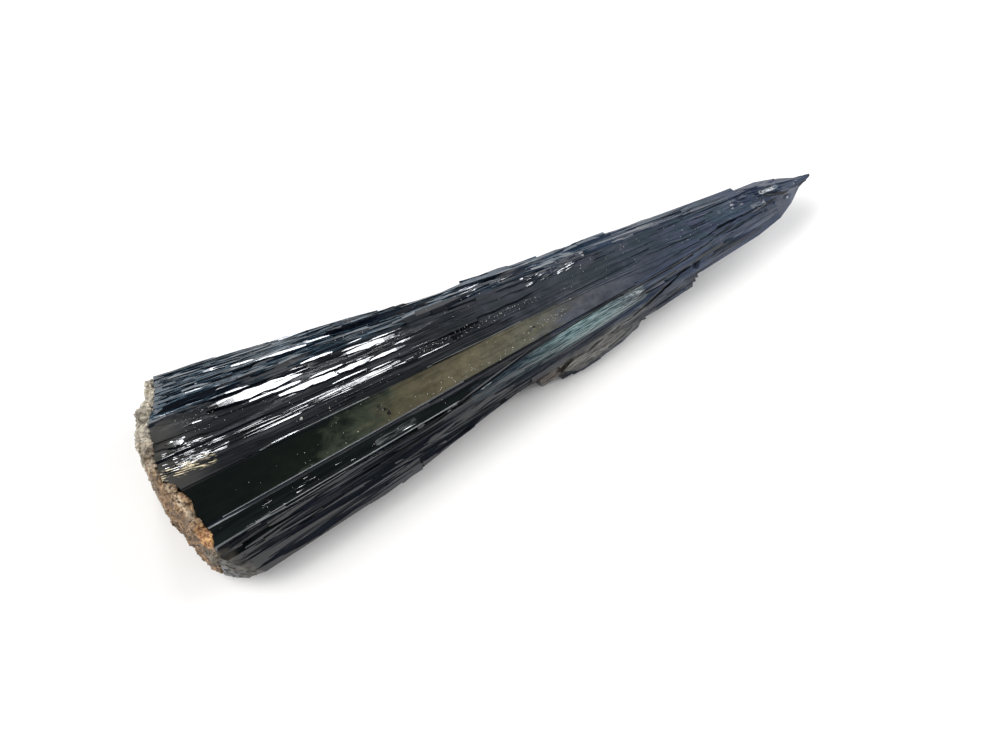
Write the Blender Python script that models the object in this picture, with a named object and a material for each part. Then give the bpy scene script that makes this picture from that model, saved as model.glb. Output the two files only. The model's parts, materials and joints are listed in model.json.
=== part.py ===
"""A natural blade of vivianite: flat laths that fan out from a point, grown together into one crystal.

Its wide end was broken off the rock and still carries a granular crust of it.
The blade lies as it rests on a table. X runs along it from the broken root to the point, Y from its front
flank to its back flank, and Z up. The origin is on the table, under the middle of the whole thing's box.
Sizes are in millimetres here and are turned into metres as the meshes are made.
"""

import math
import random
from typing import NamedTuple

import bmesh
import bpy
from mathutils import Matrix, Vector

MM = 0.001

# The sheaf's core. Its growth lines meet at the apex, beyond the point, so each of its faces is flat.
APEX = Vector((64.0, 0.0, 4.0))
ROOT_X = -43.6
CORE_END_X = 30.0
# (y, z) corners at ROOT_X, from the front rim over the top to the back rim and along the underside.
ROOT_SECTION = (
    (-14.2, 4.3),
    (-12.2, 9.8),
    (-10.1, 11.2),
    (-5.3, 11.7),
    (-0.9, 11.5),
    (5.2, 10.1),
    (11.6, 5.2),
    (6.0, 0.9),
    (-9.0, 0.9),
)


class Section(NamedTuple):
    """A section across the point: its half-widths to the front and back rims, and the heights round it."""

    x: float
    front: float
    back: float
    rim: float
    top: float
    bottom: float


# The point swells a little before it closes. Its ridge lies at the middle of its width.
POINT = (
    Section(16.0, 5.0, 4.4, 4.4, 7.2, 1.2),
    Section(26.0, 5.4, 3.6, 4.3, 6.6, 1.9),
    Section(35.5, 4.3, 3.2, 4.2, 5.9, 2.6),
    Section(39.5, 3.4, 2.9, 4.2, 5.7, 3.0),
    Section(42.0, 2.2, 2.0, 4.4, 5.4, 3.5),
    Section(44.2, 0.7, 0.8, 4.6, 5.15, 4.1),
    Section(46.3, 0.05, 0.15, 4.9, 5.0, 4.8),
)
POINT_FLAT = 0.4  # share of the point's width that its top and its underside take up

# The fracture at the root, (y, x) in plan at the crystal's top, and how much further out it is at the bottom.
FRACTURE = (
    (-20.0, -43.6),
    (-12.7, -43.6),
    (-11.0, -43.1),
    (-8.5, -43.9),
    (-6.5, -43.6),
    (-4.6, -44.3),
    (-3.0, -45.6),
    (-0.5, -45.4),
    (2.5, -44.8),
    (5.5, -44.1),
    (9.0, -42.3),
    (14.0, -41.0),
    (20.0, -40.0),
)
# The outer side of the crust, likewise.
CRUST_FACE = (
    (-20.0, -43.4),
    (-13.5, -44.0),
    (-9.0, -44.8),
    (-5.0, -45.7),
    (-1.5, -46.5),
    (1.5, -46.4),
    (4.5, -46.0),
    (8.0, -44.6),
    (11.0, -42.7),
    (14.0, -41.8),
    (20.0, -41.0),
)
FRACTURE_LEAN = 0.8
FRACTURE_TOP = 14.0
CRUST_GAP = 0.3
CRUST_LUMPS = 90
LUMP_RADIUS = (0.6, 1.5)
LUMP_SUNK = 0.75  # how deep a lump's middle lies under the face, as a share of its radius
# The crust's outline, (y, z) corners in the order of ROOT_SECTION's. It reaches the rims of the outer laths.
CRUST_SECTION = (
    (-14.4, 3.6),
    (-13.0, 10.4),
    (-5.3, 11.6),
    (-0.9, 11.5),
    (5.2, 10.2),
    (13.6, 5.4),
    (12.4, 3.4),
    (6.0, 1.0),
    (-9.0, 1.0),
)

# The front corner of the root is worn round. In plan, what lies outside this line is gone: (x, y) corners.
WORN_CORNER = (
    (-36.0, -15.35),
    (-39.6, -15.15),
    (-41.8, -14.45),
    (-43.1, -13.7),
    (-44.2, -12.5),
    (-45.6, -10.4),
)
WORN_HEIGHT = 9.0

# The keel is the flat cleavage face that the blade lies on: (x, front y, back y) at its root and its end.
KEEL_ROOT = (-42.0, -7.6, 3.8)
KEEL_END = (13.0, -4.6, 1.2)
KEEL_HEIGHT = 4.0


class Lath(NamedTuple):
    """A lath, given at its root and its tip by the middle of its top face, its width and its thickness."""

    root: tuple
    tip: tuple
    width: tuple
    thickness: tuple
    roll: float = 0.0  # degrees that its top leans towards the back
    flat: float = 0.8  # share of its width that is flat, the rest being the two bevels


LATHS = {
    "back_root": Lath((-46.0, 9.9, 8.0), (-16.9, 7.1, 7.0), (12.6, 6.8), (5.0, 4.0), 31, 0.9),
    "back_middle": Lath((-32.0, 7.6, 8.0), (-1.0, 4.4, 6.6), (9.4, 5.6), (5.0, 4.0), 34, 0.9),
    "back_step": Lath((-2.5, 5.2, 7.4), (10.0, 4.0, 6.6), (6.8, 5.0), (3.0, 2.6), 36, 0.9),
    "back_outer": Lath((3.0, 4.8, 6.75), (17.5, 4.15, 6.1), (4.6, 3.4), (3.0, 2.6), 33, 0.9),
    "back_fill": Lath((13.0, 4.4, 6.2), (24.0, 3.3, 5.5), (3.2, 2.0), (2.4, 1.8), 33, 0.9),
    "back_tip": Lath((16.0, 3.0, 6.5), (36.0, 2.5, 5.3), (3.8, 2.4), (2.4, 1.6), 24, 0.85),
    "shoulder": Lath((-47.0, 2.4, 11.3), (-4.0, 1.2, 8.9), (6.8, 4.0), (4.0, 3.0), 15, 0.88),
    "crest_back": Lath((-47.0, -1.7, 12.0), (-8.0, -1.0, 9.4), (2.2, 1.4), (3.0, 2.4), 6, 0.84),
    "crest_front": Lath((-47.0, -3.9, 12.2), (-3.0, -2.4, 9.0), (2.8, 1.3), (3.0, 2.4), -2, 0.84),
    "crest_tip": Lath((-20.0, -0.9, 9.95), (27.0, -0.9, 6.9), (4.4, 4.4), (3.0, 2.6), 4, 0.84),
    "main": Lath((-47.0, -7.8, 11.8), (26.0, -2.3, 6.9), (5.8, 3.0), (4.0, 3.0), -6, 0.86),
    "front_step": Lath((-46.0, -11.4, 11.1), (-4.0, -7.0, 8.1), (4.0, 1.2), (4.0, 2.6), -11, 0.86),
    "front_flank": Lath((-46.0, -14.95, 6.05), (-18.0, -11.5, 5.1), (5.8, 4.6), (3.0, 2.6), -67, 0.84),
    "front_waist": Lath((-21.0, -11.95, 4.66), (2.0, -6.8, 4.25), (4.3, 3.2), (2.8, 2.2), -67, 0.84),
    "front_rim": Lath((-46.0, -13.9, 4.65), (-14.0, -10.7, 4.2), (4.1, 3.0), (3.0, 2.4), -74, 0.8),
    "front_teal": Lath((-18.0, -9.25, 8.45), (15.0, -5.2, 6.85), (0.5, 2.6), (1.8, 2.4), -40, 0.74),
    "front_chip": Lath((0.4, -7.95, 2.95), (25.4, -5.3, 3.75), (4.0, 2.8), (2.4, 2.4), -58, 0.82),
    "chip_foot": Lath((3.4, -8.6, 2.3), (17.0, -6.8, 2.8), (2.9, 2.0), (1.6, 1.6), -56, 0.82),
    "point_ridge": Lath((14.0, -2.6, 6.9), (38.5, -1.2, 5.9), (3.0, 1.2), (2.4, 1.2), -14, 0.7),
}


class Band(NamedTuple):
    """A stretch of the core's outline that small laths grow on, with their number and their sizes."""

    corners: tuple  # from and to, as positions along ROOT_SECTION
    count: int
    starts: tuple  # x of their roots
    lengths: tuple
    widths: tuple
    proud: tuple


BANDS = (
    Band((5.05, 5.8), 30, (-46, 18), (7, 24), (0.7, 2.4), (0.9, 1.35)),
    Band((4.1, 4.9), 18, (-46, 12), (7, 24), (0.6, 1.6), (0.5, 0.9)),
    Band((0.1, 0.9), 18, (-42, 12), (10, 30), (0.6, 1.6), (0.6, 1.2)),
    Band((6.1, 6.9), 10, (-40, 14), (10, 28), (1.0, 2.4), (0.2, 0.6)),
    Band((7.1, 7.9), 6, (-40, 12), (10, 28), (1.0, 2.4), (0.1, 0.4)),
    Band((8.1, 8.9), 10, (-40, 12), (10, 28), (1.0, 2.4), (0.2, 0.6)),
    Band((0.0, 6.0), 26, (14, 27), (7, 13), (0.5, 1.3), (0.4, 1.0)),
    Band((6.0, 9.0), 8, (10, 26), (8, 14), (0.8, 1.6), (0.1, 0.6)),
)
SHARP_ROOT = 0.25  # how far along a small lath is widest
WIDTH_AT_ROOT = 0.3
WIDTH_AT_TIP = 0.15


def clear_scene():
    for obj in list(bpy.data.objects):
        bpy.data.objects.remove(obj)


def new_collection(name):
    made = bpy.data.collections.new(name)
    bpy.context.scene.collection.children.link(made)
    return made


def new_material(name, colour, roughness):
    made = bpy.data.materials.new(name)
    made.use_nodes = True
    shader = made.node_tree.nodes["Principled BSDF"]
    shader.inputs["Base Color"].default_value = (*colour, 1.0)
    shader.inputs["Roughness"].default_value = roughness
    shader.inputs["Metallic"].default_value = 0.0
    return made


def add_object(name, shape, group, material=None):
    """Turns a bmesh in millimetres into an object in metres. With no material, it is a Boolean's operand."""
    bmesh.ops.recalc_face_normals(shape, faces=shape.faces)
    shape.transform(Matrix.Scale(MM, 4))
    mesh = bpy.data.meshes.new(name)
    shape.to_mesh(mesh)
    shape.free()
    obj = bpy.data.objects.new(name, mesh)
    group.objects.link(obj)
    if material:
        mesh.materials.append(material)
    else:
        obj.hide_render = True
        obj.display_type = "WIRE"
    return obj


def loft(rings):
    """A closed solid through rings that have as many corners each."""
    shape = bmesh.new()
    rows = [[shape.verts.new(corner) for corner in ring] for ring in rings]
    for here, there in zip(rows, rows[1:]):
        for i in range(len(here)):
            j = (i + 1) % len(here)
            shape.faces.new((here[i], here[j], there[j], there[i]))
    shape.faces.new(rows[0])
    shape.faces.new(rows[-1])
    return shape


def mix(pair, share):
    return pair[0] + (pair[1] - pair[0]) * share


def along_core(x):
    """How far x lies along the way from the root to the apex, as a share."""
    return (x - ROOT_X) / (APEX.x - ROOT_X)


def on_core(corner, x):
    """The point at x on the growth line that starts at this position along the root's outline."""
    first = math.floor(corner)
    y, z = Vector(ROOT_SECTION[first]).lerp(
        Vector(ROOT_SECTION[(first + 1) % len(ROOT_SECTION)]), corner - first
    )
    return Vector((ROOT_X, y, z)).lerp(APEX, along_core(x))


def core_roll(corner):
    """The lean, in degrees, of the core's face there: 0 faces up and 90 faces the back."""
    first = math.floor(corner)
    y0, z0 = ROOT_SECTION[first]
    y1, z1 = ROOT_SECTION[(first + 1) % len(ROOT_SECTION)]
    return math.degrees(math.atan2(z0 - z1, y1 - y0))


def lath_rings(lath, stations):
    """Hexagonal sections: a flat top and underside, with bevels that meet in a rim half-way down each side.

    A station is how far along the lath a section is, and the share of the width that it has there.
    """
    root, tip = Vector(lath.root), Vector(lath.tip)
    roll = math.radians(lath.roll)
    along = (tip - root).normalized()
    across = Vector((0.0, math.cos(roll), -math.sin(roll)))
    across = (across - along * across.dot(along)).normalized()
    up = along.cross(across)
    rings = []
    for share, narrowing in stations:
        middle = root.lerp(tip, share)
        width = mix(lath.width, share) * narrowing
        thickness = mix(lath.thickness, share)
        half, flat = across * width / 2, across * width * lath.flat / 2
        rim, bottom = middle - up * thickness / 2, middle - up * thickness
        rings.append((middle - flat, middle + flat, rim + half, bottom + flat, bottom - flat, rim - half))
    return rings


def lath_shape(lath):
    return loft(lath_rings(lath, ((0.0, 1.0), (1.0, 1.0))))


def dagger_shape(lath):
    """A lath that narrows to a point both ways from its widest section."""
    return loft(lath_rings(lath, ((0.0, WIDTH_AT_ROOT), (SHARP_ROOT, 1.0), (1.0, WIDTH_AT_TIP))))


def core_shape():
    corners = range(len(ROOT_SECTION))
    return loft([[on_core(i, x) for i in corners] for x in (ROOT_X - 5.0, CORE_END_X)])


def point_shape():
    rings = []
    for x, front, back, rim, top, bottom in POINT:
        middle = (back - front) / 2
        half = (back + front) / 2 * POINT_FLAT
        rings.append(
            (
                (x, -front, rim),
                (x, middle - half, top - 0.1 * half),
                (x, middle + half, top),
                (x, back, rim + 0.3),
                (x, middle + half, bottom),
                (x, middle - half, bottom),
            )
        )
    return loft(rings)


def keel_shape():
    rings = []
    for x, front, back in (KEEL_ROOT, KEEL_END):
        rings.append(((x, front, 0.0), (x, back, 0.0), (x, back, KEEL_HEIGHT), (x, front, KEEL_HEIGHT)))
    return loft(rings)


def small_lath(band, dice):
    """A lath of this band, which follows a growth line of the core and stands a little proud of it."""
    corner = dice.uniform(*band.corners)
    start = dice.uniform(*band.starts)
    length = dice.uniform(*band.lengths)
    width = dice.uniform(*band.widths)
    roll = core_roll(corner)
    end = start + length
    lean = math.radians(roll)
    lift = Vector((0.0, math.sin(lean), math.cos(lean))) * dice.uniform(*band.proud)
    root = on_core(corner, start) + lift * (1 - along_core(start))
    tip = on_core(corner, end) + lift * (1 - along_core(end))
    return Lath(root, tip, (width, width), (2.4, 1.6), roll + dice.uniform(-4, 4), 0.8)


def worn_corner():
    """Everything outside the worn corner's line, up to WORN_HEIGHT."""
    outline = WORN_CORNER + ((-60.0, -10.4), (-60.0, -30.0), (-36.0, -30.0))
    return loft([[(x, y, z) for x, y in outline] for z in (-1.0, WORN_HEIGHT)])


def rock_side(outline, shift=0.0):
    """Everything on the rock's side of this outline, moved outwards by shift."""
    top = [(x - shift, y, FRACTURE_TOP) for y, x in outline]
    bottom = [(x - shift - FRACTURE_LEAN, y, -1.0) for y, x in outline]
    far = -60.0
    first, last = outline[0][0], outline[-1][0]
    return loft(
        [
            bottom + [(far, last, -1.0), (far, first, -1.0)],
            top + [(far, last, FRACTURE_TOP), (far, first, FRACTURE_TOP)],
        ]
    )


def face_x(outline, y, z):
    """Where this outline lies at this y and z."""
    lean = FRACTURE_LEAN * (FRACTURE_TOP - z) / (FRACTURE_TOP + 1.0)
    for (y0, x0), (y1, x1) in zip(outline, outline[1:]):
        if y0 <= y <= y1:
            return x0 + (x1 - x0) * (y - y0) / (y1 - y0) - lean
    raise ValueError(f"y {y} is outside the outline")


def in_crust(y, z):
    """Whether a point lies in the crust's outline, by counting the edges above it."""
    above = 0
    for i, (y0, z0) in enumerate(CRUST_SECTION):
        y1, z1 = CRUST_SECTION[(i + 1) % len(CRUST_SECTION)]
        if (y0 > y) != (y1 > y):
            above += z0 + (z1 - z0) * (y - y0) / (y1 - y0) > z
    return above % 2 == 1


def lump_shape(dice):
    """One angular lump, sunk in the crust's outer face with a little of it standing out."""
    while True:
        y, z = dice.uniform(-14.0, 13.0), dice.uniform(1.4, 11.2)
        if in_crust(y, z):
            break
    radius = dice.uniform(*LUMP_RADIUS)
    shape = bmesh.new()
    bmesh.ops.create_icosphere(shape, subdivisions=1, radius=radius)
    for vertex in shape.verts:
        vertex.co *= dice.uniform(0.8, 1.1)
    place = Vector((face_x(CRUST_FACE, y, z) + radius * LUMP_SUNK, y, z))
    shape.transform(Matrix.Translation(place) @ Matrix.Rotation(dice.uniform(0, math.pi), 4, (1, 2, 3)))
    return shape


def add_boolean(obj, operation, other):
    modifier = obj.modifiers.new(operation.title(), "BOOLEAN")
    modifier.operation = operation
    modifier.solver = "EXACT"
    if isinstance(other, bpy.types.Collection):
        modifier.operand_type = "COLLECTION"
        modifier.collection = other
    else:
        modifier.object = other


def build_blade(group, helpers, corner):
    vivianite = new_material("vivianite", (0.02, 0.035, 0.035), 0.15)
    blade = add_object("vivianite_blade", core_shape(), group, vivianite)
    laths = new_collection("laths")
    for name, lath in LATHS.items():
        add_object(name, lath_shape(lath), laths)
    dice = random.Random(11)
    for n, band in enumerate(BANDS):
        for i in range(band.count):
            add_object(f"small_{n}_{i}", dagger_shape(small_lath(band, dice)), laths)
    add_object("point", point_shape(), laths)
    add_object("keel", keel_shape(), laths)
    add_boolean(blade, "UNION", laths)
    add_boolean(blade, "DIFFERENCE", add_object("rock_side", rock_side(FRACTURE), helpers))
    add_boolean(blade, "DIFFERENCE", corner)
    return blade


def build_crust(group, helpers, corner):
    outline = [[(x, y, z) for y, z in CRUST_SECTION] for x in (-55.0, -38.0)]
    crust = add_object("matrix_crust", loft(outline), group, new_material("matrix", (0.30, 0.20, 0.13), 0.8))
    inner = add_object("crust_inner", rock_side(FRACTURE, CRUST_GAP), helpers)
    outer = add_object("crust_outer", rock_side(CRUST_FACE), helpers)
    lumps = new_collection("lumps")
    dice = random.Random(5)
    for i in range(CRUST_LUMPS):
        add_object(f"lump_{i}", lump_shape(dice), lumps)
    add_boolean(crust, "DIFFERENCE", outer)
    add_boolean(crust, "UNION", lumps)
    add_boolean(crust, "INTERSECT", inner)
    add_boolean(crust, "DIFFERENCE", corner)
    return crust


def centre_on_table(parts):
    """Moves every object so that the origin is on the table, under the middle of the parts' box."""
    graph = bpy.context.evaluated_depsgraph_get()
    corners = []
    for part in parts:
        solid = part.evaluated_get(graph)
        corners += [solid.matrix_world @ Vector(corner) for corner in solid.bound_box]
    low, high = Vector(map(min, *corners)), Vector(map(max, *corners))
    middle = Vector(((low.x + high.x) / 2, (low.y + high.y) / 2, low.z))
    for obj in bpy.data.objects:
        obj.location -= middle


def main():
    clear_scene()
    group = new_collection("vivianite_specimen")
    helpers = new_collection("cutters")
    corner = add_object("worn_corner", worn_corner(), helpers)
    parts = [build_blade(group, helpers, corner), build_crust(group, helpers, corner)]
    bpy.context.view_layer.update()
    centre_on_table(parts)


main()
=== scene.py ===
"""Dresses the vivianite blade: fine laths, scars and striations on its crystal, and grains on its crust.

Lengths are in millimetres until a mesh is made. The crystal's growth lines all meet at APEX. A growth line is
named by where it crosses the root plane: its y from the apex's own, and its z from the table.
"""

import json
import math
import random
from typing import NamedTuple

import bmesh
import bpy
from mathutils import Matrix, Quaternion, Vector
from mathutils.bvhtree import BVHTree

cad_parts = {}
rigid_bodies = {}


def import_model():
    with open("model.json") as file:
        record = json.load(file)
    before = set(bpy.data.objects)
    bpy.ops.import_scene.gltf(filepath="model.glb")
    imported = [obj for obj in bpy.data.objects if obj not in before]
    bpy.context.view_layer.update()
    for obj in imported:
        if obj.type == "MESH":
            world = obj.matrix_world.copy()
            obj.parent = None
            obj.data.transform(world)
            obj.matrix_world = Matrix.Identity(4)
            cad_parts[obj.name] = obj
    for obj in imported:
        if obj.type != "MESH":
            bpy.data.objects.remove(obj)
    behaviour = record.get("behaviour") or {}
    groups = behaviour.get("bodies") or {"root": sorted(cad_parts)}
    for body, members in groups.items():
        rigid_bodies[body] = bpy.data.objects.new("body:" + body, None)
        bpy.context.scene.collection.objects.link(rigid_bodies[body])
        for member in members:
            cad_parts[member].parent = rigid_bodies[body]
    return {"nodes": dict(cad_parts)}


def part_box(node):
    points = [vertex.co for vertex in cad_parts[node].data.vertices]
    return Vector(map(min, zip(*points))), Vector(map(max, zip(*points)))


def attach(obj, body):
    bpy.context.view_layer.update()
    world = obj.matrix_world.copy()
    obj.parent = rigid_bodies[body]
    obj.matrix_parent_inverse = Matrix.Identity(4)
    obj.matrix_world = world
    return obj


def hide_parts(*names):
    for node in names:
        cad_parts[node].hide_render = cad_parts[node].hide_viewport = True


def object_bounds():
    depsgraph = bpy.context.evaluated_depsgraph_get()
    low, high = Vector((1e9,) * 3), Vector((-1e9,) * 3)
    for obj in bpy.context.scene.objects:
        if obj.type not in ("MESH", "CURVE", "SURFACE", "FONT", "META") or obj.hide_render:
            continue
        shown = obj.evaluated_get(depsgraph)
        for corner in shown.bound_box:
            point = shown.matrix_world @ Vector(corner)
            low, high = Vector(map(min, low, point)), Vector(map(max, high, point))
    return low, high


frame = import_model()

CAD_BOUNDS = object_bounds()
MM = 0.001
BLADE_NODE = "vivianite_blade"
CRUST_NODE = "matrix_crust"
BOX_LOW, BOX_HIGH = (Vector(corner) / MM for corner in CAD_BOUNDS)

# The fan of growth lines, from the root plane to the apex beyond the point.
FAN_LENGTH = 107.6
APEX = Vector((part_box(BLADE_NODE)[1].x / MM + 17.7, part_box(BLADE_NODE)[1].y / MM - 14.01, 4.0))
FAR = 60.0  # well outside the blade
ROOTWARD = 0.45  # share of a lath's length that lies on the root's side of its own place
BURIED = 0.6  # how deep a lath's underside lies under the surface
FOOT_SHARE, FOOT_MORE = 1.25, 0.06  # the underside is so many times as wide as its face, and so much more
CUTTER_TOP = 1.5  # how far out of the surface a scar's cutter reaches
CUTTER_FLARE = 0.3  # how much further to each side it reaches there
JITTER_PLACE, JITTER_WIDTH = (-0.08, 0.08), (0.75, 1.2)  # how an outline's stations may shift and widen
SPARE = {"top": 0.04, "back": 0.18}  # how far a lath of this side may pass the blade's outline in plan
HANGING = 0.14  # how far off the surface the rim of a lath may be, besides its height and its tilt

CAMERA_AZIMUTH = math.radians(-29)
CAMERA_ELEVATION = math.radians(62)
CAMERA_TARGET = APEX + Vector((-68.2, -6.35, 1.0))
CAMERA_DISTANCE = 170.2
FOCAL_LENGTH = 50.0
SENSOR_WIDTH = 36.0

CRYSTAL_SEED = 4
CRUST_SEED = 9
DUST_SEED = 21
WELD = 1e-8  # corners nearer than this, in metres, are one


# Meshes


def new_object(name, data):
    """An object of this mesh, light or camera, in the scene, with its name on both."""
    data.name = name
    added = bpy.data.objects.new(name, data)
    bpy.context.scene.collection.objects.link(added)
    return added


def node_mesh(name):
    """A copy of a CAD node's mesh, welded so that it is closed."""
    mesh = frame["nodes"][name].data.copy()
    mesh.materials.clear()
    shape = bmesh.new()
    shape.from_mesh(mesh)
    bmesh.ops.remove_doubles(shape, verts=shape.verts, dist=WELD)
    for face in shape.faces:
        face.smooth = False
    shape.to_mesh(mesh)
    shape.free()
    for layer in list(mesh.uv_layers):
        mesh.uv_layers.remove(layer)
    for normals in [a.name for a in mesh.attributes if a.name.startswith("custom_normal")]:
        mesh.attributes.remove(mesh.attributes[normals])
    return mesh


def ring_mesh(rings):
    """A closed mesh, in metres, through rings with as many corners each.

    The rings follow the way of growth, and each one's corners run anticlockwise as seen from the point.
    """
    count = len(rings[0])
    corners = [Vector(corner) * MM for ring in rings for corner in ring]
    faces = [tuple(reversed(range(count))), tuple(len(corners) - count + i for i in range(count))]
    for row in range(len(rings) - 1):
        for i in range(count):
            a, b = row * count + i, row * count + (i + 1) % count
            faces.append((a, b, b + count, a + count))
    mesh = bpy.data.meshes.new("rings")
    mesh.from_pydata(corners, [], faces)
    return mesh


def combined(mesh, operation, others):
    """The Boolean of a closed mesh with many small closed ones."""
    group = bpy.data.collections.new("operands")
    bpy.context.scene.collection.children.link(group)
    for i, other in enumerate(others):
        group.objects.link(bpy.data.objects.new(f"operand_{i}", other))
    base = new_object("base", mesh)
    modifier = base.modifiers.new("combine", "BOOLEAN")
    modifier.operation = operation
    modifier.solver = "MANIFOLD"
    modifier.operand_type = "COLLECTION"
    modifier.collection = group
    graph = bpy.context.evaluated_depsgraph_get()
    result = bpy.data.meshes.new_from_object(base.evaluated_get(graph))
    bpy.data.objects.remove(base)
    for operand in list(group.objects):
        bpy.data.objects.remove(operand)
    bpy.data.collections.remove(group)
    if len(result.vertices) == len(mesh.vertices):
        raise RuntimeError(f"the {operation.lower()} did nothing")
    for other in others:
        bpy.data.meshes.remove(other)
    bpy.data.meshes.remove(mesh)
    result.materials.clear()
    return result


def skins_of(shape):
    """Lists of the faces that hang together by edges that two faces share."""
    for face in shape.faces:
        face.tag = False
    skins = []
    for seed in shape.faces:
        if seed.tag:
            continue
        seed.tag = True
        skin = [seed]
        for face in skin:  # the list grows as it is walked
            for edge in face.edges:
                if len(edge.link_faces) == 2:
                    fresh = [other for other in edge.link_faces if not other.tag]
                    for other in fresh:
                        other.tag = True
                    skin += fresh
        skins.append(skin)
    return skins


def main_skin(mesh):
    """The mesh's one closed skin, without the loose slivers and hidden hollows that cuts leave."""
    shape = bmesh.new()
    shape.from_mesh(mesh)
    bmesh.ops.triangulate(shape, faces=shape.faces[:])
    bmesh.ops.remove_doubles(shape, verts=shape.verts[:], dist=WELD)
    skins = skins_of(shape)
    largest = max(skins, key=len)
    strays = [face for skin in skins if skin is not largest for face in skin]
    bmesh.ops.delete(shape, geom=strays, context="FACES")
    open_edges = sum(len(edge.link_faces) != 2 for edge in shape.edges)
    print(len(strays), "stray faces left out,", open_edges, "open edges")
    shape.to_mesh(mesh)
    shape.free()
    return mesh


def fill_ramp(ramp, stops):
    """Gives a colour ramp these colours, each at its place."""
    while len(ramp.elements) < len(stops):
        ramp.elements.new(0.5)
    for element, (place, colour) in zip(ramp.elements, stops):
        element.position = place
        element.color = (*colour, 1.0)


def surface_of(mesh):
    """A tree to cast rays at, in millimetres."""
    shape = bmesh.new()
    shape.from_mesh(mesh)
    bmesh.ops.triangulate(shape, faces=shape.faces)
    shape.transform(Matrix.Scale(1 / MM, 4))
    tree = BVHTree.FromBMesh(shape)
    shape.free()
    return tree


# Growth lines


def ray_to(side, line, x):
    """A ray to this side of the blade, at one x of a growth line.

    The line is given by its y for the top and the underside, and by its z for the front and the back.
    """
    narrowing = (APEX.x - x) / FAN_LENGTH
    y = APEX.y + line * narrowing
    z = APEX.z + (line - APEX.z) * narrowing
    start, way = {
        "top": ((x, y, FAR), (0, 0, -1)),
        "under": ((x, y, -FAR), (0, 0, 1)),
        "front": ((x, -FAR, z), (0, 1, 0)),
        "back": ((x, FAR, z), (0, -1, 0)),
    }[side]
    return Vector(start), Vector(way)


class Field(NamedTuple):
    """A stretch of the blade's surface that one kind of lath or scar covers."""

    side: str  # top, under, front or back: where it is looked for from
    lines: tuple  # growth lines from and to
    x: tuple
    count: int
    length: tuple
    width: tuple
    height: tuple  # how far a lath stands proud, or how deep a scar goes
    roll: tuple = (-6, 6)  # degrees; a positive one leans its top further to the front
    yaw: tuple = (-1, 1)  # degrees off the growth line
    pitch: tuple = (-0.6, 0.6)  # degrees; a positive one rises towards the point
    lean: tuple = ()  # degrees that a face leans to the back; where none are given, it follows the surface
    outlines: tuple = ()  # where none are given, the ones usual for its kind


# Outlines of a lath, (share of its length, share of its width, share of its height) at each station.
LENS = ((0.0, 0.10, -0.6), (0.2, 0.72, 0.7), (0.45, 1.0, 1.0), (0.72, 0.8, 0.9), (1.0, 0.06, -0.3))
NEEDLE = ((0.0, 0.15, -0.4), (0.4, 1.0, 1.0), (1.0, 0.10, -0.2))
RAGGED = (
    (0.0, 0.04, -0.6), (0.12, 0.34, 0.4), (0.28, 0.62, 0.9), (0.42, 1.0, 1.0), (0.56, 0.72, 1.0),
    (0.68, 0.92, 0.97), (0.86, 0.42, 0.75), (1.0, 0.04, -0.2),
)
RIDGE = ((0.0, 0.6, 0.2), (0.2, 1.0, 1.0), (0.8, 1.0, 1.0), (1.0, 0.4, 0.0))
STEPPED = ((0.0, 0.10, -0.6), (0.3, 0.8, 0.8), (0.6, 1.0, 1.0), (0.88, 0.6, 1.1), (1.0, 0.08, 1.0))


def leaning(degrees, along):
    """The upward normal of a face that follows this way and leans so far to the back."""
    lean = math.radians(degrees)
    along = along.normalized()
    normal = Vector((0.0, math.sin(lean), math.cos(lean)))
    return (normal - along * normal.dot(along)).normalized()


def splinter(point, normal, size, turns, outline, scar=False):
    """The rings of a lath about a point of the surface, or of the cutter of a scar shaped like one."""
    length, width, height = size
    roll, yaw, pitch = (math.radians(turn) for turn in turns)
    along = APEX - point
    along = Quaternion(normal, yaw) @ (along - normal * along.dot(normal)).normalized()
    up = Quaternion(along, roll) @ normal
    across = along.cross(up)
    along = Quaternion(across, pitch) @ along
    up = across.cross(along)
    rings = []
    for share, narrowing, rise in outline:
        middle = point + along * length * (share - ROOTWARD)
        half = across * width * narrowing / 2
        if scar:
            top, bottom = middle + up * CUTTER_TOP, middle - up * height * rise
            skirt = half + across * CUTTER_FLARE
            rings.append((top - skirt, top + skirt, bottom + half, bottom - half))
        else:
            top, bottom = middle + up * height * rise, middle - up * BURIED
            skirt = half * FOOT_SHARE + across * FOOT_MORE
            rings.append((top - half, top + half, bottom + skirt, bottom - skirt))
    return rings


def jittered(outline, dice):
    """The outline with each station's width, and each inner station's place, moved a little."""
    inner = range(1, len(outline) - 1)
    moved = []
    for i, (share, width, rise) in enumerate(outline):
        shift = dice.uniform(*JITTER_PLACE) if i in inner else 0.0
        moved.append((share + shift, width * dice.uniform(*JITTER_WIDTH), rise))
    return moved


def inside_box(corners, margin=0.02):
    """Whether all these corners keep inside the CAD model's box."""
    return all(
        BOX_LOW[i] + margin <= corner[i] <= BOX_HIGH[i] - margin for corner in corners for i in range(3)
    )


def lies_on(tree, rings, slack):
    """Whether a lath's face keeps within slack of the surface, so that no end of it hangs in the air."""
    return all(tree.find_nearest(corner)[3] < slack for ring in rings for corner in ring[:2])


def over_blade(tree, rings, spare):
    """Whether a lath keeps inside the blade's outline as seen from above, give or take so much."""
    corners = (corner for ring in rings for corner in ring[:2])
    starts = (Vector((x, y - math.copysign(spare, y), FAR)) for x, y, _ in corners)
    return all(tree.ray_cast(start, Vector((0, 0, -1)))[0] is not None for start in starts)


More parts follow.
